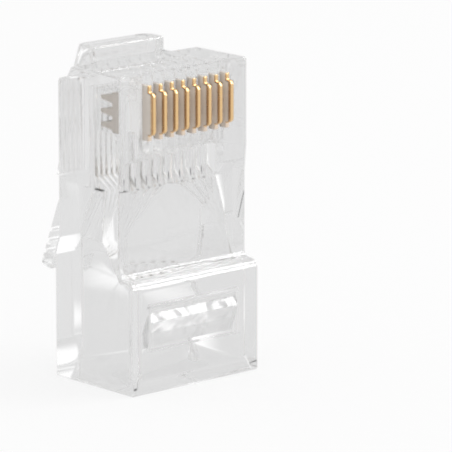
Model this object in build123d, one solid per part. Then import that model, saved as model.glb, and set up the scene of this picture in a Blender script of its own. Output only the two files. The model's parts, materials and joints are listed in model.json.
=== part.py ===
from build123d import *
import os
from math import atan2, cos, degrees, radians, sin

# Clear eight-way modular plug for network cable, as moulded and not yet crimped.
# It stands on its cable end. Z runs from the cable entry at 0 up to the nose, X is
# the width, the contacts face -Y and the latch is on the +Y side. All sizes in mm.
# The origin is the centre of the cable end.

# Outer form of the housing
body_width = 11.68
body_length = 22.2
rear_depth = 8.2
shoulder_height = 8.0
front_step = 1.35
back_step = 0.43
back_step_height = 10.0
back_step_drop = 1.3
deck_rise = 0.17
deck_reach = 6.2
deck_slope = 1.8
edge_round = 0.15
shoulder_round = 0.75
shoulder_fillet = 0.45
back_step_round = 0.2

# Notches in the back of the nose, one on each side of the latch root
notch_drop = 0.7
notch_back_drop = 0.98
notch_depth = 0.97
notch_top_depth = 1.38
notch_round = 0.2
notch_back_round = 0.3

# Latch root that stands over the nose
root_width = 6.7
root_front_inset = 0.77
root_overhang = 1.93
root_top_overhang = 1.08
root_rise = 1.0
root_round = 0.75
root_top_round = 0.2
root_front_round = 0.25

# Latch, whose arm grows out of the root and bends a little way down from it
arm_setback = 1.3
arm_offset = 1.03
arm_thickness = 1.0
flex_reach = 4.0
hinge_clearance = 0.05
latch_lean = 14.5
rise_lean = 33.0
rise_length = 3.1
lever_lean = 22.0
bend_round = 2.0
lock_reach = 8.7
root_arm_width = 5.5
lock_width = 6.2
lock_flank = 2.6
lever_width = 3.25
lever_end_height = 6.0
lever_round = 0.7
lever_tip_round = 0.4
lock_corner_round = 0.15
lock_inner_round = 0.3
grip_count = 3
grip_pitch = 0.9
grip_groove_radius = 0.18

# Contacts
contact_count = 8
contact_pitch = 1.016
blade_thickness = 0.35
blade_clearance = 0.03
blade_stand = 0.97
blade_shelf_stand = 0.5
head_setback = 0.8
head_length = 3.85
ridge_inset = 0.45
ridge_length = 3.0
ridge_round = 0.35
stem_inset = 0.6
stem_length = 2.85
blade_reach = 3.17
tine_count = 3
tine_depth = 1.2
tine_root = 0.6
tine_tip = 0.25
crimp_travel = 1.2
comb_slot_width = 0.56
comb_slot_depth = 0.95
comb_slot_overrun = 1.0

# Wire channels and the flat pocket that lines the wires up
channel_diameter = 0.9
channel_depth = 3.97
channel_end_wall = 1.3
channel_lead_length = 1.1
channel_lead_width = 0.74
pocket_width = 9.8
pocket_depth = 2.35
pocket_height = 10.3
pocket_end_height = 13.85
pocket_back_wall = 1.82

# Cable cavity, whose back is one plane with the pocket's
cavity_width = 10.0
cavity_roof_height = 7.9
cavity_front_wall = 0.6
funnel_reach = 1.7
cavity_round = 0.3
entry_flare = 0.35
entry_flare_height = 1.1
back_flare = 1.1
back_flare_height = 2.0

# Window and strain relief bar in the front of the cable end
window_width = 8.3
window_low = 2.95
window_high = 6.1
bar_side_clearance = 0.1
bar_end_clearance = 0.12
bar_hinge_sink = 0.55
bar_knuckle_radius = 0.22
bar_knuckle_clearance = 0.05
bar_web = 0.3
bar_web_drop = 0.45
bar_ridge_sink = 0.12
bar_ridge_height = 4.95
bar_foot_sink = 0.8
bar_foot_depth = 0.4
bite_sink = 1.3
bite_height = 4.1

# Cutters run past the faces that they cut by this much
cut_margin = 1.0

# Places that follow from the sizes above
rear_front = -rear_depth / 2
rear_back = rear_depth / 2
nose_front = rear_front + front_step
nose_back = rear_back - back_step
deck_front = nose_front - deck_rise
deck_start = body_length - deck_reach
arm_y = nose_back + arm_offset
arm_z = body_length - arm_setback
hinge_y = arm_y + flex_reach * sin(radians(latch_lean))
hinge_z = arm_z - flex_reach * cos(radians(latch_lean))
knuckle_radius = arm_thickness / 2
channel_y = deck_front + channel_depth
contact_xs = [(i - (contact_count - 1) / 2) * contact_pitch for i in range(contact_count)]
head_high = body_length - head_setback
head_low = head_high - head_length
ridge_high = head_high - ridge_inset
stem_high = head_high - stem_inset
stem_low = stem_high - stem_length
cavity_front = rear_front + cavity_front_wall
pocket_back = nose_back - pocket_back_wall
pocket_front = pocket_back - pocket_depth
bar_hinge_y = rear_front + bar_hinge_sink
bar_hinge_z = window_high - bar_end_clearance


def slab(points, width, x=0.0, radii=None):
    """Outline in the Y-Z plane, each corner with its own radius, given a width centred on x."""
    outline = FilletPolyline(*points, radius=radii or [0] * len(points), close=True)
    return Pos(x, 0, 0) * extrude(make_face(Plane.YZ * outline), amount=width / 2, both=True)


def block(width, y_low, y_high, z_low, z_high, x=0.0):
    """Rectangular block of one width between two depths and two heights."""
    middle = Pos(x, (y_low + y_high) / 2, (z_low + z_high) / 2)
    return middle * Box(width, y_high - y_low, z_high - z_low)


def cross_rod(radius, width, y, z):
    """Round rod that lies across the plug, along X."""
    return Pos(0, y, z) * Rot(0, 90, 0) * Cylinder(radius, width)


def outer_form():
    """Thick cable end, rounded shoulder, and the thinner nose, with notches beside the latch root."""
    corners = [
        ((rear_front, 0), edge_round),
        ((rear_front, shoulder_height), shoulder_round),
        ((nose_front, shoulder_height), shoulder_fillet),
        ((nose_front, deck_start - deck_slope), 0),
        ((deck_front, deck_start), 0),
        ((deck_front, body_length), edge_round),
        ((nose_back - notch_top_depth, body_length), edge_round),
        ((nose_back - notch_depth, body_length - notch_drop), notch_round),
        ((nose_back, body_length - notch_back_drop), notch_back_round),
        ((nose_back, back_step_height), back_step_round),
        ((rear_back, back_step_height - back_step_drop), back_step_round),
        ((rear_back, 0), edge_round),
    ]
    form = slab([point for point, _ in corners], body_width, radii=[radius for _, radius in corners])
    sides = form.faces().filter_by(Axis.X).edges()
    seat = block(root_width, nose_back - 2 * notch_top_depth, nose_back, arm_z, body_length)
    return fillet(sides, edge_round) + seat


def latch_root():
    """Block that rises over the nose and overhangs its back, where the latch hangs from."""
    front = nose_back - root_front_inset
    high = body_length + root_rise
    outline = [
        (front, arm_z),
        (front, high),
        (nose_back + root_top_overhang, high),
        (nose_back + root_overhang, arm_z),
    ]
    root = slab(outline, root_width)
    back_edges = root.faces().sort_by(Axis.Y)[-1].edges().sort_by(Axis.X)
    root = fillet([back_edges[0], back_edges[-1]], root_round)
    front_edges = root.faces().sort_by(Axis.Y)[0].edges().sort_by(Axis.X)
    root = fillet([front_edges[0], front_edges[-1]], root_front_round)
    return fillet(root.faces().sort_by(Axis.Z)[-1].edges(), root_top_round)


def cable_cavity():
    """Room for the cable, the funnel that gathers its wires, and the flat pocket above it."""
    room = [
        (cavity_front, 0),
        (cavity_front, cavity_roof_height),
        (pocket_front - funnel_reach, cavity_roof_height),
        (pocket_front, pocket_height),
        (pocket_back, pocket_height),
        (pocket_back, back_flare_height),
        (pocket_back + back_flare, 0),
    ]
    cavity = slab(room, cavity_width, radii=[0, cavity_round, 0, 0, 0, 0, 0])
    cavity = fillet(cavity.edges().filter_by(Axis.Z), cavity_round)
    pocket = block(pocket_width, pocket_front, pocket_back, pocket_height, pocket_end_height)
    mouth = Rectangle(cavity_width + 2 * entry_flare, pocket_back - cavity_front + 2 * entry_flare)
    slant = degrees(atan2(entry_flare, entry_flare_height))
    flare = extrude(mouth, amount=entry_flare_height, taper=slant)
    return cavity + pocket + Pos(0, (cavity_front + pocket_back) / 2) * flare


def wire_channel(x):
    """Blind channel for one wire, with a sloping lead-in that starts at the pocket's end."""
    radius = channel_diameter / 2
    length = body_length - channel_end_wall - pocket_end_height
    channel = Pos(x, channel_y, pocket_end_height + length / 2) * Cylinder(radius, length)
    ramp = [
        (pocket_front, pocket_end_height),
        (channel_y, pocket_end_height + channel_lead_length),
        (channel_y, pocket_end_height),
    ]
    return channel + slab(ramp, channel_lead_width, x)


def contact_slot(x):
    """Comb slot, open at the nose, with the narrow slot under it that grips one blade."""
    comb_floor = deck_front + comb_slot_depth
    head_floor = deck_front - blade_shelf_stand + comb_slot_depth + crimp_travel
    stem_floor = deck_front + blade_reach + crimp_travel + blade_clearance
    narrow = blade_thickness + 2 * blade_clearance
    gap = blade_clearance
    comb = block(
        comb_slot_width, rear_front, comb_floor,
        head_low - comb_slot_overrun, body_length + cut_margin, x,
    )
    head = block(narrow, rear_front, head_floor + gap, head_low - gap, head_high + gap, x)
    stem = block(narrow, rear_front, stem_floor, stem_low - gap, stem_high + gap, x)
    return comb + head + stem


def strain_window():
    """Window in the front wall of the cable end, with a round seat along its upper edge."""
    inside = cavity_front + cut_margin
    opening = block(window_width, rear_front - cut_margin, inside, window_low, bar_hinge_z)
    seat_radius = bar_knuckle_radius + bar_knuckle_clearance
    return opening + cross_rod(seat_radius, window_width, bar_hinge_y, bar_hinge_z)


def along(start, angle, distance, side=0.0):
    """Point reached from start down a line that leans out by angle, then off to one side."""
    lean = radians(angle)
    y = start[0] + distance * sin(lean) + side * cos(lean)
    z = start[1] - distance * cos(lean) + side * sin(lean)
    return (y, z)


def latch_plan(reach):
    """Arm seen from behind: it widens to square locking shoulders, then narrows to the lever."""
    half_plan = [
        (root_arm_width / 2, arm_z + arm_thickness, 0),
        (root_arm_width / 2, arm_z - arm_thickness / 2, 0),
        (lock_width / 2, body_length - lock_reach + lock_flank, lock_flank / 2),
        (lock_width / 2, body_length - lock_reach, lock_corner_round),
        (lever_width / 2, body_length - lock_reach, lock_inner_round),
        (lever_width / 2, lever_end_height - arm_thickness / 2 * sin(radians(lever_lean)), lever_round),
    ]
    right = [(x, z) for x, z, _ in half_plan]
    left = [(-x, z) for x, z in reversed(right)]
    radii = [radius for _, _, radius in half_plan]
    outline = FilletPolyline(*right, *left, radius=radii + radii[::-1], close=True)
    return extrude(make_face(Plane.XZ * outline), amount=reach, both=True)


def latch_arm():
    """Whole springy arm, from its start inside the root to the finger lever with its grip grooves."""
    half = arm_thickness / 2
    root = (arm_y, arm_z)
    lock_z = body_length - lock_reach
    lock = along(root, latch_lean, (arm_z - lock_z) / cos(radians(latch_lean)))
    knee = along(lock, rise_lean, rise_length)
    lever_length = (knee[1] - lever_end_height) / cos(radians(lever_lean))
    lock_lean = (latch_lean + rise_lean) / 2
    knee_lean = (rise_lean + lever_lean) / 2
    outline = [
        along(root, latch_lean, -half, half),
        along(lock, lock_lean, 0, half),
        along(knee, knee_lean, 0, half),
        along(knee, lever_lean, lever_length, half),
        along(knee, lever_lean, lever_length, -half),
        along(knee, knee_lean, 0, -half),
        along(lock, lock_lean, 0, -half),
        along(root, latch_lean, -half, -half),
    ]
    bends = [bend_round, bend_round]
    radii = [0, *bends, lever_tip_round, lever_tip_round, *bends, 0]
    arm = slab(outline, lock_width, radii=radii)
    grooves = []
    for i in range(grip_count):
        place = along(knee, lever_lean, lever_length - lever_round - (i + 0.5) * grip_pitch, half)
        grooves.append(cross_rod(grip_groove_radius, lever_width + 2 * cut_margin, *place))
    return (arm & latch_plan(body_length)) - grooves


def above_the_bend():
    """All the room on the root's side of the latch's bend, square to the arm."""
    room = Pos(0, hinge_y, hinge_z) * Rot(latch_lean, 0, 0) * Pos(0, 0, body_length / 2)
    return room * Box(body_width, body_length, body_length)


def latch_root_arm():
    """Upper end of the arm, which stays with the housing, with a round seat where it bends."""
    seat = cross_rod(knuckle_radius + hinge_clearance, lock_width + 2 * cut_margin, hinge_y, hinge_z)
    return (latch_arm() & above_the_bend()) - seat


def make_housing():
    """Clear moulding that carries every other piece."""
    solid = outer_form() + latch_root() + latch_root_arm()
    solid -= cable_cavity()
    solid -= [wire_channel(x) for x in contact_xs]
    solid -= [contact_slot(x) for x in contact_xs]
    return solid - strain_window()


def make_latch():
    """Arm below the bend: a round knuckle, wide locking shoulders and a narrow finger lever."""
    knuckle = cross_rod(knuckle_radius, lock_width, hinge_y, hinge_z) & latch_plan(body_length)
    return (latch_arm() - above_the_bend()) + knuckle


def make_strain_bar():
    """Ridged bar on a thin web: the crimp tool pushes on its ridge and its bite holds the jacket."""
    low = window_low + bar_end_clearance
    web_low = bar_hinge_z - bar_web_drop
    outline = [
        (bar_hinge_y - bar_web / 2, bar_hinge_z),
        (bar_hinge_y - bar_web / 2, web_low),
        (rear_front + bar_ridge_sink, bar_ridge_height),
        (rear_front + bar_foot_sink, low),
        (rear_front + bar_foot_sink + bar_foot_depth, low),
        (rear_front + bite_sink, bite_height),
        (bar_hinge_y + bar_web / 2, web_low),
        (bar_hinge_y + bar_web / 2, bar_hinge_z),
    ]
    width = window_width - 2 * bar_side_clearance
    return slab(outline, width) + cross_rod(bar_knuckle_radius, width, bar_hinge_y, bar_hinge_z)


def make_contact(x):
    """Stamped blade: a proud ridge for the socket's spring, a wide head and three tines."""
    ridge = deck_front - blade_stand
    shelf = deck_front - blade_shelf_stand
    head_floor = shelf + comb_slot_depth
    tip = deck_front + blade_reach
    valley = tip - tine_depth
    tines = []
    for i in range(tine_count):
        middle = stem_low + (i + 0.5) * stem_length / tine_count
        tines.append((valley, middle - tine_root / 2))
        tines.append((tip, middle - tine_tip / 2))
        tines.append((tip, middle + tine_tip / 2))
        tines.append((valley, middle + tine_root / 2))
    outline = [
        (shelf, head_high),
        (shelf, ridge_high),
        (ridge, ridge_high),
        (ridge, ridge_high - ridge_length),
        (shelf, ridge_high - ridge_length),
        (shelf, head_low),
        (head_floor, head_low),
        (head_floor, stem_low),
        (valley, stem_low),
        *tines,
        (valley, stem_high),
        (head_floor, stem_high),
        (head_floor, head_high),
    ]
    radii = [0.0] * len(outline)
    radii[2] = ridge_round
    radii[3] = ridge_round
    return slab(outline, blade_thickness, x, radii)


os.makedirs("parts", exist_ok=True)
export_step(make_housing(), "parts/housing.step")
export_step(make_latch(), "parts/latch_tab.step")
export_step(make_strain_bar(), "parts/strain_relief_bar.step")
for number, x in enumerate(contact_xs, start=1):
    export_step(make_contact(x), f"parts/contact_{number}.step")
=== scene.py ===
# %% [markdown]
# A clear eight-way modular plug, seen as a product photograph.
#
# The real object is one polycarbonate moulding with a springy latch, eight gold-edged
# blades pushed into its nose and a strain relief bar in a window of its cable end.
# Nearly everything in the picture is light bent by clear plastic, so the lesson is
# about closed meshes, soft surroundings and a little roughness.

# %% Load the frame
import json
import math

import bmesh
import bpy
import numpy as np
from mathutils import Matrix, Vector


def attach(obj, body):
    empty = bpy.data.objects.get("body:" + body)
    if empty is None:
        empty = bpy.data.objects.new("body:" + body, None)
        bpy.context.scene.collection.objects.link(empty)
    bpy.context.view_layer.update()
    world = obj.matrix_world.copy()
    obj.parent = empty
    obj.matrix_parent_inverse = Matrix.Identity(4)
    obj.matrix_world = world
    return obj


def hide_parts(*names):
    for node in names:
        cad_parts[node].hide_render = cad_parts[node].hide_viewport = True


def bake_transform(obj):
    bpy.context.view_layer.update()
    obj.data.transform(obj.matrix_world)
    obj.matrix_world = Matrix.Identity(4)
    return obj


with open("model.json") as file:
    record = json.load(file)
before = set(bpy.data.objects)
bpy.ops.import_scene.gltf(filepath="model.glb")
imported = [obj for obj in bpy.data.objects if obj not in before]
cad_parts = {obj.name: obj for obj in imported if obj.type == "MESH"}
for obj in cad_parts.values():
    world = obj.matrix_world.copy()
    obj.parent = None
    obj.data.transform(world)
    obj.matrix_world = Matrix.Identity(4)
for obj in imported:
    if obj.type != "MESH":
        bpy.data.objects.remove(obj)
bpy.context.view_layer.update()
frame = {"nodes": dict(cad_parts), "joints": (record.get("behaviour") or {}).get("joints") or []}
scene = bpy.context.scene
MM = 0.001
print("nodes:", sorted(frame["nodes"]))

# %% [markdown]
# The camera comes first. The photograph was taken from a little above, turned about 42
# degrees to the plug's left, through a long lens: the plug's upright edges hardly
# converge. The distance and the lens were fitted to the plug's edges.

# %% Camera
AZIMUTH, ELEVATION = math.radians(-42.04), math.radians(12.725)
DISTANCE = 295.98 * MM
SENSOR_MM, LENS_MM = 36.0, 338.41
NEAREST_SEEN = 10 * MM
AIM = Vector((3.581, -3.229, 10.525)) * MM
towards_camera = Vector((
    math.sin(AZIMUTH) * math.cos(ELEVATION),
    -math.cos(AZIMUTH) * math.cos(ELEVATION),
    math.sin(ELEVATION),
))


def look_back(thing, direction, distance):
    """Puts a camera or a lamp at a distance from the plug's middle, and turns it to look there."""
    thing.location = AIM + direction * distance
    thing.rotation_mode = "QUATERNION"
    thing.rotation_quaternion = (-direction).to_track_quat("-Z", "Y")
    scene.collection.objects.link(thing)
    print(thing.name, "at", [round(v / MM, 1) for v in thing.location], "mm")


camera_data = bpy.data.cameras.new("camera")
camera_data.sensor_width = SENSOR_MM
camera_data.lens = LENS_MM
camera_data.clip_start = NEAREST_SEEN
camera = bpy.data.objects.new("camera", camera_data)
look_back(camera, towards_camera, DISTANCE)
scene.camera = camera
scene.view_settings.view_transform = "Standard"

# %% [markdown]
# Shader maths reads best as plain expressions. One small class wraps a socket of a node
# tree: adding or multiplying two of them, or taking one away from a number, adds the Math
# node for it, and one method adds any other node. The remaining methods give short names
# to the nodes that this scene uses often.

# %% A small language for shader maths
FACTOR, COLOUR_A, COLOUR_B, MIXED_COLOUR = 0, 6, 7, 2


class Wire:
    """One socket of a node tree. Python's arithmetic on it adds Math nodes."""

    def __init__(self, tree, socket=None):
        self.tree = tree
        self.socket = socket

    def node(self, kind, settings=None, inputs=None, output=0):
        """Adds a node of any kind: its settings first, then the values or links of its sockets."""
        made = self.tree.nodes.new(kind)
        for name, value in (settings or {}).items():
            setattr(made, name, value)
        for name, value in (inputs or {}).items():
            if isinstance(value, Wire):
                self.tree.links.new(value.socket, made.inputs[name])
            else:
                made.inputs[name].default_value = value
        return Wire(self.tree, made.outputs[output])

    def maths(self, operation, other):
        """A Math node of this value and another."""
        return self.node("ShaderNodeMath", {"operation": operation}, {0: self, 1: other})

    def __add__(self, other):
        return self.maths("ADD", other)

    __radd__ = __add__

    def __mul__(self, other):
        return self.maths("MULTIPLY", other)

    def __rsub__(self, other):
        return self.node("ShaderNodeMath", {"operation": "SUBTRACT"}, {0: other, 1: self})

    def ramp(self, start, end, low=0.0, high=1.0):
        """Goes smoothly from low to high while this value goes from start to end."""
        return self.node(
            "ShaderNodeMapRange",
            {"interpolation_type": "SMOOTHSTEP"},
            {"Value": self, "From Min": start, "From Max": end, "To Min": low, "To Max": high},
        )

    def blend(self, first, second):
        """Colour between two colours, this value of the way from the first to the second."""
        return self.node(
            "ShaderNodeMix",
            {"data_type": "RGBA"},
            {FACTOR: self, COLOUR_A: first, COLOUR_B: second},
            output=MIXED_COLOUR,
        )

    def measure(self, operation, other):
        """One number from this vector and another, such as their distance."""
        return self.node(
            "ShaderNodeVectorMath", {"operation": operation}, {0: self, 1: other}, output="Value"
        )

    def along(self, direction):
        """How far this vector points along a direction: the dot product of the two."""
        return self.measure("DOT_PRODUCT", direction)

    def noise(self, blobs_per_metre, detail):
        """Cloudy pattern between 0 and 1, read at this place."""
        inputs = {"Vector": self, "Scale": blobs_per_metre, "Detail": detail}
        return self.node("ShaderNodeTexNoise", inputs=inputs)

    def place(self):
        """Place on the object, in metres."""
        return self.node("ShaderNodeTexCoord", output="Object")

    def mark(self, name):
        """Number that each face of the mesh holds under a name."""
        return self.node("ShaderNodeAttribute", {"attribute_name": name}, output="Fac")

    def show(self, kind):
        """Makes this wire the surface of the whole tree, through an output node of a kind."""
        output = self.tree.nodes.new(kind)
        self.tree.links.new(self.socket, output.inputs["Surface"])


def start_nodes(owner):
    """Empties the node tree of a world or a material, and gives a wire to build it from."""
    owner.use_nodes = True
    owner.node_tree.nodes.clear()
    return Wire(owner.node_tree)


def grey(level):
    """Neutral colour of one level."""
    return (level, level, level, 1.0)


WHITE = grey(1.0)
print("shader maths ready")

# %% [markdown]
# The plug stands in a white sweep. Clear plastic has no look of its own: it shows what
# stands around it. Surroundings as white as the sweep would make the plug vanish, so the
# camera sees white, and every other ray sees a soft light grey, a little darker low down
# on the camera's side. A bright window high on the right gives the plug its pale bands.
#
# Every fade goes by how far a ray's direction points along a chosen one: 1 straight
# along it, 0 square to it, -1 the opposite way.

# %% Surroundings
BEHIND = Vector((-towards_camera.x, -towards_camera.y, 0.0)).normalized()
UP = (0.0, 0.0, 1.0)
WINDOW_SIDE = Vector((0.65, -0.4, 0.65)).normalized()
BEHIND_FADE, UP_FADE, WINDOW_FADE = (-0.75, 0.35), (0.15, 0.8), (0.8, 0.95)
BACK_LEVEL, SIDE_LEVEL = 0.76, 0.71
WINDOW_GLOW = 0.45
world = bpy.data.worlds.new("surroundings")
scene.world = world
sky = start_nodes(world)
ray = sky.node("ShaderNodeTexCoord", output="Generated")
behind = ray.along(BEHIND).ramp(*BEHIND_FADE)
above = ray.along(UP).ramp(*UP_FADE)
pale = 1.0 - (1.0 - behind) * (1.0 - above)
room = pale.blend(grey(SIDE_LEVEL), grey(BACK_LEVEL))
to_camera = sky.node("ShaderNodeLightPath", output="Is Camera Ray")
shade = to_camera.blend(room, WHITE)
window = ray.along(WINDOW_SIDE).ramp(*WINDOW_FADE) * (1.0 - to_camera)
strength = 1.0 + window * WINDOW_GLOW
background = sky.node("ShaderNodeBackground", inputs={"Color": shade, "Strength": strength})
background.show("ShaderNodeOutputWorld")
print("surroundings fade from", BACK_LEVEL, "to", SIDE_LEVEL)

# %% [markdown]
# The floor is a wide square of white paper, just under the plug.

# %% Floor
FLOOR_DROP = 0.02 * MM
FLOOR_REACH = 3.0
corners = np.array([(-1, -1), (1, -1), (1, 1), (-1, 1)]) * FLOOR_REACH
floor_mesh = bpy.data.meshes.new("floor")
floor_mesh.from_pydata([(x, y, -FLOOR_DROP) for x, y in corners], [], [(0, 1, 2, 3)])
floor = bpy.data.objects.new("floor", floor_mesh)
scene.collection.objects.link(floor)
print("floor reaches", FLOOR_REACH, "m")

# %% [markdown]
# The paper keeps the plug's soft shadow. It is given part of its light by its own shader,
# so that it stays white in the picture, and a calmer grey in what the plastic bends and
# mirrors. Two small round patches of it behind the plug glow brighter still. They are
# painted light that stands in for two bright cards, and are seen only through the plastic,
# as the pale bands in its back corner and its latch root.

# %% Paper and its glowing patches
PAPER_COLOUR = grey(0.88)
PAPER_LIFT = 0.85
PAPER_LEVEL = 0.77
GLOW_PATCH_CORE = 0.4
# Patches of the paper that glow brighter: painted light in place of bright cards.
GLOW_PATCHES = (
    {"middle": Vector((9.6, 9.0, 0.0)) * MM, "reach": 4.5 * MM, "level": 1.3},
    {"middle": Vector((22.0, 28.0, 0.0)) * MM, "reach": 6.0 * MM, "level": 1.12},
)
LIFTED_RAYS = ("Is Camera Ray", "Is Glossy Ray", "Is Transmission Ray")


def paper_floor():
    """White paper that keeps a soft shadow, with glowing patches of painted light on it.

    A patch is fully bright within a share of its reach, and fades into the paper from there
    to its whole reach.
    """
    material = bpy.data.materials.new("paper_floor")
    wire = start_nodes(material)
    spot = wire.place()
    lit = PAPER_LEVEL
    for glow_patch in GLOW_PATCHES:
        away = spot.measure("DISTANCE", glow_patch["middle"])
        core = glow_patch["reach"] * GLOW_PATCH_CORE
        # Each patch adds painted light, so the paper glows brighter there than around it.
        lit = lit + away.ramp(core, glow_patch["reach"], glow_patch["level"] - PAPER_LEVEL, 0.0)
    to_camera = wire.node("ShaderNodeLightPath", output="Is Camera Ray")
    colour = to_camera.blend(lit, WHITE)
    own_light = wire.node("ShaderNodeEmission", inputs={"Color": colour, "Strength": 1.0})
    paper = wire.node("ShaderNodeBsdfDiffuse", inputs={"Color": PAPER_COLOUR})
    seen = sum(wire.node("ShaderNodeLightPath", output=kind) for kind in LIFTED_RAYS)
    lift = seen.maths("MINIMUM", 1.0) * PAPER_LIFT
    mixed = wire.node("ShaderNodeMixShader", inputs={0: lift, 1: paper, 2: own_light})
    mixed.show("ShaderNodeOutputMaterial")
    return material


floor_mesh.materials.append(paper_floor())
# The count is of the glowing patches of painted light.
print("paper lit by", len(GLOW_PATCHES), "cards")

# %% [markdown]
# Two small softboxes stand in front of the plug on its right. They are what the rounded
# shoulder and the ridged bar mirror as thin white lines. The place of each follows from
# the surface that mirrors it: light from the camera's line, turned back by that surface.

# %% Lamps
LAMP_FAR = 0.4
LAMP_SIZE = 0.1
LAMP_WATTS = 0.25
HIGH_LEAN, LOW_LEAN = 43, 24


def softbox(name, surface_lean):
    """Lamp that shows in surfaces which face the front but lean back by some degrees.

    The direction to the camera is turned over about the surface's normal: twice the part
    of it along the normal, less the direction itself.
    """
    lean = math.radians(surface_lean)
    normal = Vector((0.0, -math.cos(lean), math.sin(lean)))
    mirrored = 2 * normal.dot(towards_camera) * normal - towards_camera
    lamp_data = bpy.data.lights.new(name, "AREA")
    lamp_data.size = LAMP_SIZE
    lamp_data.energy = LAMP_WATTS
    lamp = bpy.data.objects.new(name, lamp_data)
    lamp.visible_transmission = False
    look_back(lamp, mirrored, LAMP_FAR)


softbox("high_softbox", HIGH_LEAN)
softbox("low_softbox", LOW_LEAN)

# %% [markdown]
# A ray of light crosses the plug's walls many times before it leaves, and bounces inside
# them as it does in glass, so the light paths are allowed more turns than usual. A wide
# pixel filter gives the slight softness of the photograph.

# %% Light paths
BOUNCES = 80
PIXEL_FILTER = 2.2
for limit in ("max_bounces", "glossy_bounces", "transmission_bounces"):
    setattr(scene.cycles, limit, BOUNCES)
scene.cycles.filter_width = PIXEL_FILTER
print("bounces:", scene.cycles.max_bounces)

# %% [markdown]
# The frame's meshes are loose triangles, so each copy of one is merged into a closed skin
# before anything is done with it. New pieces are worked out as arrays of points.

# %% Mesh helpers
WELD = 0.0002 * MM


def new_piece(name, mesh):
    """New object at the origin for a finished mesh."""
    piece = bpy.data.objects.new(name, mesh)
    scene.collection.objects.link(piece)
    return piece


def merged_copy(node, name):
    """Copy of a node's mesh with its loose triangles joined into one closed skin."""
    mesh = bpy.data.meshes.new(name)
    work = bmesh.new()
    work.from_mesh(frame["nodes"][node].data)
    bmesh.ops.remove_doubles(work, verts=work.verts, dist=WELD)
    bmesh.ops.dissolve_degenerate(work, edges=work.edges, dist=WELD)
    work.to_mesh(mesh)
    work.free()
    return new_piece(name, mesh)


def prism(name, outline, half_widths):
    """Closed prism across the plug, from an outline in the side view.

    Each point of the outline gives one corner at minus its half width and one at plus it.
    A side face joins two neighbours on the left with the same two on the right.
    """
    left = np.column_stack([-half_widths, outline])
    right = np.column_stack([half_widths, outline])
    count = len(outline)
    ring = np.arange(count)
    after = np.roll(ring, -1)
    sides = np.column_stack([ring, after, after + count, ring + count])
    faces = [list(ring[::-1]), list(ring + count)] + sides.tolist()
    mesh = bpy.data.meshes.new(name)
    mesh.from_pydata(np.vstack([left, right]).tolist(), [], faces)
    work = bmesh.new()
    work.from_mesh(mesh)
    bmesh.ops.recalc_face_normals(work, faces=work.faces)
    work.to_mesh(mesh)
    work.free()
    return new_piece(name, mesh)


def apply_modifiers(piece):
    """Turns what the modifiers make into the piece's own mesh."""
    shown = piece.evaluated_get(bpy.context.evaluated_depsgraph_get())
    mesh = bpy.data.meshes.new_from_object(shown)
    piece.modifiers.clear()
    piece.data = mesh


def weld_on(piece, other):
    """Joins another closed piece to this one as one skin, and takes the other away."""
    union = piece.modifiers.new("weld", "BOOLEAN")
    union.operation = "UNION"
    union.solver = "EXACT"
    union.object = other
    apply_modifiers(piece)
    bpy.data.objects.remove(other)


def report(piece):
    """Prints the size of a piece's mesh and whether it is closed."""
    work = bmesh.new()
    work.from_mesh(piece.data)
    open_edges = sum(not edge.is_manifold for edge in work.edges)
    volume = round(work.calc_volume() / MM**3, 1)
    work.free()
    faces = len(piece.data.polygons)
    print(piece.name, faces, "faces,", open_edges, "open edges,", volume, "mm3")


print("mesh helpers ready")

# %% [markdown]
# The housing and its latch are one moulding. The frame holds them as two solids, so that
# the latch can turn, with a round knuckle between them. A gap there would show through
# the clear plastic, so copies of both are welded into one closed mesh, with a small
# filler where the knuckle sits. The filler follows the arm's lean and width.

# %% Moulded body
LATCH_LEAN = math.radians(14.5)
ARM_HALF = 0.498 * MM
FILLER_HIGH, FILLER_LOW = 0.62 * MM, 0.2 * MM
ARM_HEIGHTS_MM, ARM_HALF_WIDTHS_MM = (16.1, 20.4), (3.1, 2.75)
FILLER_INSET = 0.004 * MM
hinge = next(joint for joint in frame["joints"] if joint["name"] == "latch_hinge")
hinge_place = np.array(hinge["pos_m"])[1:]
down = np.array([math.sin(LATCH_LEAN), -math.cos(LATCH_LEAN)])
outward = np.array([math.cos(LATCH_LEAN), math.sin(LATCH_LEAN)])
high = hinge_place - down * FILLER_HIGH
low = hinge_place + down * FILLER_LOW
outline = np.array([
    high - outward * ARM_HALF,
    high + outward * ARM_HALF,
    low + outward * ARM_HALF,
    low - outward * ARM_HALF,
])


def filler_half_width(z):
    """Half the filler's width at a height.

    The arm's half width goes in a straight line from the one at the locking shoulders to
    the one at the root. The filler stays inside it by a hair.
    """
    return np.interp(z / MM, ARM_HEIGHTS_MM, ARM_HALF_WIDTHS_MM) * MM - FILLER_INSET


body = merged_copy("housing", "moulded_body")
arm = merged_copy("latch_tab", "arm")
filler = prism("filler", outline, filler_half_width(outline[:, 1]))
for piece in (body, arm, filler):
    report(piece)
weld_on(arm, filler)
weld_on(body, arm)
report(body)

# %% [markdown]
# Round surfaces are many small faces, and clear plastic would show every one of them. So
# they shade smooth, while flat faces stay flat and real corners stay sharp.

# %% Edge shading
SHARP = math.radians(28)
AREA_WEIGHT = 100


def smooth_faces(piece):
    """Rounds shade smooth, flat faces stay flat and real corners stay sharp."""
    piece.data.polygons.foreach_set("use_smooth", [True] * len(piece.data.polygons))
    piece.data.set_sharp_from_angle(angle=SHARP)
    weighted = piece.modifiers.new("flat_faces", "WEIGHTED_NORMAL")
    weighted.keep_sharp = True
    weighted.weight = AREA_WEIGHT


smooth_faces(body)
print(body.name, "is sharp above", round(math.degrees(SHARP)), "degrees")

# %% [markdown]
# The mould's outside was polished, but the cores that made the cavity, the channels and
# the slots were not. So each face is marked: it counts as made by a core when it lies
# deeper inside the plug's outline than a small depth. The notches beside the latch root
# lie that deep too, and are marked with the rest.

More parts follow.
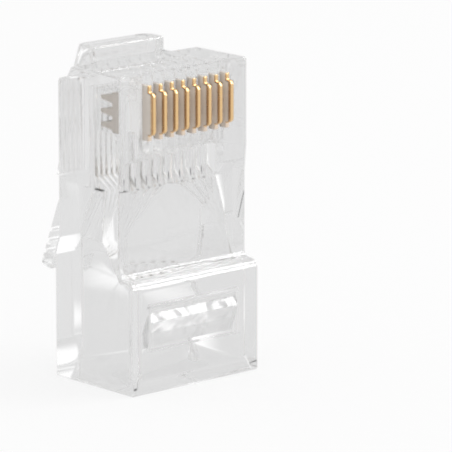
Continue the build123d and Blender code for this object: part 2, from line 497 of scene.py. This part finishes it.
# %% Mark the faces that cores made
CORE_MARK = "made_by_core"
CORE_DEPTH = 0.12 * MM
HALF_WIDTH = 5.84 * MM
TOP = 22.2 * MM
FRONT_HEIGHTS = np.array([0.0, 8.0, 8.7, 14.3, 16.1, 30.0]) * MM
FRONT_PLACES = np.array([-4.1, -4.1, -2.75, -2.75, -2.92, -2.92]) * MM
BACK_HEIGHTS = np.array([0.0, 8.7, 10.0, 22.0, 22.2]) * MM
BACK_PLACES = np.array([4.1, 4.1, 3.67, 3.67, 3.4]) * MM


def face_vectors(piece, kind):
    """The "center" or the "normal" of every face, as one array for each of x, y and z."""
    faces = piece.data.polygons
    values = np.zeros(len(faces) * 3)
    faces.foreach_get(kind, values)
    return values.reshape(-1, 3).T


def mark_faces(piece, name, values):
    """Writes a number on every face, under a name that a material can read."""
    mark = piece.data.attributes.new(name, "FLOAT", "FACE")
    mark.data.foreach_set("value", np.asarray(values, dtype=float))


def depth_inside(x, y, z):
    """How deep places lie inside the plug's outline.

    That is the least of their distances to the sides, the front, the back, the top and
    the bottom. The front and the back follow the outline in the side view, which goes in
    straight lines from one listed height to the next.
    """
    return np.minimum.reduce([
        HALF_WIDTH - np.abs(x),
        y - np.interp(z, FRONT_HEIGHTS, FRONT_PLACES),
        np.interp(z, BACK_HEIGHTS, BACK_PLACES) - y,
        TOP - z,
        z,
    ])


made_by_core = depth_inside(*face_vectors(body, "center")) > CORE_DEPTH
mark_faces(body, CORE_MARK, made_by_core)
print("core faces:", int(made_by_core.sum()), "of", len(made_by_core))

# %% [markdown]
# Polycarbonate bends light more than glass does. A faint tint and a little roughness keep
# the walls from looking like crystal, and the bar's face, which was never polished, has
# ripples that break up what it shows.

# %% Clear plastic
PLASTIC_TINT = grey(0.97)
POLYCARBONATE_IOR = 1.585
FLOW_SCALE, FLOW_DETAIL = 260.0, 3.0
FLOW_FADE = (0.35, 0.7)
FLOW_LEAST, FLOW_MOST = 0.75, 1.25
MARK_FADE = (0.4, 0.6)
RIPPLE_DETAIL = 1.0


def clear_plastic(name, gloss, haze, ripple, ripples_per_metre):
    """Moulded polycarbonate.

    Gloss is the roughness outside, haze that of the faces which cores made. Both are
    multiplied by a cloudy pattern around 1. Ripple is the height of the waves.
    """
    material = bpy.data.materials.new(name)
    wire = start_nodes(material)
    spot = wire.place()
    patchy = spot.noise(FLOW_SCALE, FLOW_DETAIL).ramp(*FLOW_FADE, FLOW_LEAST, FLOW_MOST)
    roughness = wire.mark(CORE_MARK).ramp(*MARK_FADE, gloss, haze) * patchy
    bump = wire.node(
        "ShaderNodeBump",
        inputs={
            "Height": spot.noise(ripples_per_metre, RIPPLE_DETAIL),
            "Strength": 1.0,
            "Distance": ripple,
        },
    )
    surface = wire.node(
        "ShaderNodeBsdfPrincipled",
        inputs={
            "Base Color": PLASTIC_TINT,
            "Roughness": roughness,
            "Normal": bump,
            "IOR": POLYCARBONATE_IOR,
            "Transmission Weight": 1.0,
        },
    )
    surface.show("ShaderNodeOutputMaterial")
    return material


def dress(piece, material):
    """Gives a piece one material."""
    piece.data.materials.clear()
    piece.data.materials.append(material)
    print(piece.name, "wears", material.name)


body_plastic = clear_plastic(
    "body_plastic", gloss=0.025, haze=0.035, ripple=0.001 * MM, ripples_per_metre=700.0
)
bar_plastic = clear_plastic(
    "bar_plastic", gloss=0.16, haze=0.16, ripple=0.2 * MM, ripples_per_metre=520.0
)
dress(body, body_plastic)
dress(frame["nodes"]["strain_relief_bar"], bar_plastic)

# %% [markdown]
# A stamped blade has slightly rounded edges, and those catch the light. Each blade is a
# copy of its node with bevelled edges. The gold sits on the stamped edge that faces the
# socket, so the faces near the front that do not look straight sideways are marked for
# it, those of the foot less. The bevels have a mark of their own, for a darker brown gold
# that is painted shade on the rounded edges.

# %% Blades
BLADES = 8
EDGE_MARK = "plated_edge"
# The bevels' mark, for painted shade on the rounded edges.
SHADED_BEVEL_MARK = "painted_bevel_shade"
BLADE_BEVEL = 0.065 * MM
BEVEL_STEPS = 2
BEVEL_ANGLE = math.radians(35)
PLATED_DEPTH, PLATED_LOW = -3.3 * MM, 17.9 * MM
FLAT_SIDE, ON_BEVEL = 0.97, 0.2
EDGE_SHARE, FOOT_SHARE = 1.0, 0.35


def round_edges(blade):
    """Bevels every real corner of a blade."""
    bevel = blade.modifiers.new("stamped_edge", "BEVEL")
    bevel.width = BLADE_BEVEL
    bevel.segments = BEVEL_STEPS
    bevel.use_clamp_overlap = False
    bevel.limit_method = "ANGLE"
    bevel.angle_limit = BEVEL_ANGLE
    apply_modifiers(blade)


def mark_gold(blade):
    """Marks the faces that hold gold, and among them the bevels, which get painted shade.

    A face looks sideways by the size of its normal's x: 1 on the blade's flat side, 0 on
    its stamped edge and between them on a bevel.
    """
    sideways = np.abs(face_vectors(blade, "normal")[0])
    _, y, z = face_vectors(blade, "center")
    plated = (sideways < FLAT_SIDE) & (y < PLATED_DEPTH)
    mark_faces(blade, EDGE_MARK, plated * np.where(z > PLATED_LOW, EDGE_SHARE, FOOT_SHARE))
    mark_faces(blade, SHADED_BEVEL_MARK, plated & (sideways > ON_BEVEL))


blades = []
for number in range(1, BLADES + 1):
    blade = merged_copy(f"contact_{number}", f"blade_{number}")
    round_edges(blade)
    mark_gold(blade)
    smooth_faces(blade)
    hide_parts(f"contact_{number}")
    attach(blade, f"contact_{number}")
    blades.append(blade)
report(blades[0])

# %% [markdown]
# The blades are bronze with nickel on their sides and gold on the edge. A little gold
# wraps round from the edge on to the front of the sides. Nickel is drawn as only partly
# metallic, because in the photograph the plastic around it makes it look matt and pale.

# %% Contact metal
# The darker brown gold is thin gold on the wrapped band and the foot, and painted shade on the
# bevels.
GOLD, THIN_GOLD_AND_BEVEL_SHADE = (1.0, 0.69, 0.36, 1.0), (0.62, 0.38, 0.18, 1.0)
NICKEL = (1.0, 0.91, 0.82, 1.0)
BACKWARD = (0.0, 1.0, 0.0)
WRAP_START, WRAP_END = -3.74 * MM, -3.6 * MM
WRAP_SHARE = 0.9
NICKEL_METALLIC, GOLD_METALLIC = 0.3, 1.0
NICKEL_ROUGHNESS, GOLD_ROUGHNESS = 0.45, 0.24
GRAIN_SCALE, GRAIN_DETAIL = 3000.0, 2.0
GRAIN_ROUGHNESS = 0.05


def contact_metal():
    """Gold on the outer edge, thin and brown where it wraps round to the nickel sides.

    The share of gold is the larger of a face's mark and a band that fades out backwards
    along the side. The gold turns brown by the larger of the bevel's mark, where the brown
    is painted shade, and what the edge's mark leaves of 1, where it is thin gold.
    """
    material = bpy.data.materials.new("contact_metal")
    wire = start_nodes(material)
    spot = wire.place()
    edge = wire.mark(EDGE_MARK)
    wrapped = spot.along(BACKWARD).ramp(WRAP_START, WRAP_END, WRAP_SHARE, 0.0)
    gold = wrapped.maths("MAXIMUM", edge)
    # Painted shade on the bevels, thin gold where the edge's mark is less than 1.
    thin_or_shaded = wire.mark(SHADED_BEVEL_MARK).maths("MAXIMUM", 1.0 - edge)
    plating = thin_or_shaded.blend(GOLD, THIN_GOLD_AND_BEVEL_SHADE)
    grain = spot.noise(GRAIN_SCALE, GRAIN_DETAIL) * GRAIN_ROUGHNESS
    surface = wire.node(
        "ShaderNodeBsdfPrincipled",
        inputs={
            "Base Color": gold.blend(NICKEL, plating),
            "Metallic": gold.ramp(0.0, 1.0, NICKEL_METALLIC, GOLD_METALLIC),
            "Roughness": gold.ramp(0.0, 1.0, NICKEL_ROUGHNESS, GOLD_ROUGHNESS) + grain,
        },
    )
    surface.show("ShaderNodeOutputMaterial")
    return material


metal = contact_metal()
for blade in blades:
    dress(blade, metal)

# %% [markdown]
# The latch bends a little below its root. Cuts across the arm there, by planes at even
# steps from the bend's start to its end, give the welded skin enough points to bend in a
# smooth curve.

# %% Cut the arm where it bends
BEND_ACROSS = np.array([0.0, 0.99743, -0.07159])
BEND_START, BEND_END = 4.1 * MM, 5.0 * MM
BEND_CUTS = 10


def cut_for_bend(piece, cuts):
    """Cuts the arm where it bends, by planes at even steps from the bend's start to its end."""
    work = bmesh.new()
    work.from_mesh(piece.data)
    for step in np.linspace(BEND_START, BEND_END, cuts):
        everything = work.verts[:] + work.edges[:] + work.faces[:]
        bmesh.ops.bisect_plane(
            work, geom=everything, dist=WELD, plane_co=BEND_ACROSS * step, plane_no=BEND_ACROSS
        )
    work.to_mesh(piece.data)
    work.free()


cut_for_bend(body, BEND_CUTS)
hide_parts("housing", "latch_tab")
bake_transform(body)
report(body)
